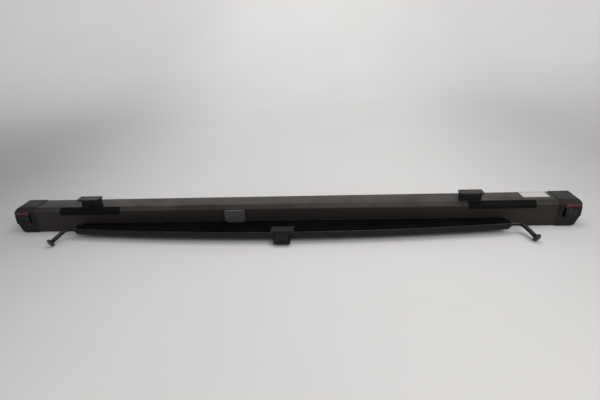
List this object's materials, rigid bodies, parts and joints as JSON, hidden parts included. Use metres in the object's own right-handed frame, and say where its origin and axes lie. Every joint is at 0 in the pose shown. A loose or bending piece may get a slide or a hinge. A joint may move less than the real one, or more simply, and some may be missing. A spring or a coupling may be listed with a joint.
{
  "type": "luggage partition net cassette",
  "caption": "Car luggage-space partition net: extruded cassette with a sprung net roller, locking end caps, seat hooks, and a bowed net bar with sprung end rods that hook into the roof.",
  "frame": {"origin": "middle of the housing's flat underside", "axes": "+X runs along the cassette to the right end, -Y is the way the net pulls out, +Z points out of the side with the seat hooks"},
  "size_m": [1.1216, 0.1231, 0.072],
  "materials": {
    "housing": "dark brown-grey satin anodised aluminium with fine lengthwise draw lines",
    "cap_plastic": "charcoal fine-grained moulded plastic",
    "trim_grey": "mid-grey fine-grained moulded plastic",
    "indicator_red": "signal-red semi-gloss insert",
    "hook_steel": "black e-coated pressed steel",
    "rod_steel": "black-coated round steel bar",
    "zinc_steel": "zinc-plated steel",
    "guard_rubber": "matt black rubber",
    "netting": "black knotless polyester netting with a woven hem",
    "bar_plastic": "black satin moulded plastic",
    "label_paper": "blank white self-adhesive film"
  },
  "bodies": {
    "housing": {"housing_profile": "housing", "left_end_cap": "cap_plastic", "right_end_cap": "cap_plastic", "left_bearing_plate": "cap_plastic", "right_bearing_plate": "cap_plastic", "left_guide_plate": "trim_grey", "right_guide_plate": "trim_grey", "left_lock_indicator": "indicator_red", "right_lock_indicator": "indicator_red", "left_hook": "hook_steel", "right_hook": "hook_steel", "spring_bracket": "hook_steel", "spring_arbor": "hook_steel", "left_cap_screw_1": "zinc_steel", "left_cap_screw_2": "zinc_steel", "right_cap_screw_1": "zinc_steel", "right_cap_screw_2": "zinc_steel", "left_hook_rivet_1": "zinc_steel", "left_hook_rivet_2": "zinc_steel", "right_hook_rivet_1": "zinc_steel", "right_hook_rivet_2": "zinc_steel", "left_lock_spring": "zinc_steel", "right_lock_spring": "zinc_steel", "release_spring": "zinc_steel", "winding_spring": "zinc_steel", "left_edge_guard": "guard_rubber", "right_edge_guard": "guard_rubber", "net_lead": "netting", "blank_label": "label_paper"},
    "roller": {"roller_tube": "zinc_steel", "roller_bush": "cap_plastic", "roller_axle": "cap_plastic", "net_roll": "netting"},
    "net_bar": {"net_bar": "bar_plastic", "net_hem": "netting", "net_skirt": "netting", "pull_handle": "bar_plastic", "left_rod_spring": "zinc_steel", "right_rod_spring": "zinc_steel"},
    "left_rod": {"left_rod": "rod_steel"},
    "right_rod": {"right_rod": "rod_steel"},
    "left_slider": {"left_lock_slider": "trim_grey"},
    "right_slider": {"right_lock_slider": "trim_grey"},
    "release": {"release_tab": "trim_grey"}
  },
  "joints": [
    {"name": "net_pull", "type": "slide", "parent": "housing", "child": "net_bar", "axis": [0, -1, 0], "range_m": [0, 0.8], "stiffness_N_per_m": 15, "springref_m": -0.6},
    {"name": "roller_spin", "type": "hinge", "parent": "housing", "child": "roller", "pos_m": [0, 0.0025, 0.026], "axis": [1, 0, 0], "continuous": true},
    {"name": "left_rod_slide", "type": "slide", "parent": "net_bar", "child": "left_rod", "axis": [1, 0, 0], "range_m": [0, 0.008], "stiffness_N_per_m": 400, "springref_m": -0.006, "deforming": ["left_rod_spring"]},
    {"name": "right_rod_slide", "type": "slide", "parent": "net_bar", "child": "right_rod", "axis": [-1, 0, 0], "range_m": [0, 0.008], "stiffness_N_per_m": 400, "springref_m": -0.006, "deforming": ["right_rod_spring"]},
    {"name": "left_lock_slide", "type": "slide", "parent": "housing", "child": "left_slider", "axis": [1, 0, 0], "range_m": [0, 0.0055], "stiffness_N_per_m": 800, "springref_m": -0.004, "deforming": ["left_lock_spring"]},
    {"name": "right_lock_slide", "type": "slide", "parent": "housing", "child": "right_slider", "axis": [-1, 0, 0], "range_m": [0, 0.0055], "stiffness_N_per_m": 800, "springref_m": -0.004, "deforming": ["right_lock_spring"]},
    {"name": "release_press", "type": "slide", "parent": "housing", "child": "release", "axis": [0, 1, 0], "range_m": [0, 0.0025], "stiffness_N_per_m": 600, "springref_m": -0.003, "deforming": ["release_spring"]}
  ],
  "couplings": [
    {"joint": "roller_spin", "follows": "net_pull", "rad_per_m": -66.67}
  ]
}
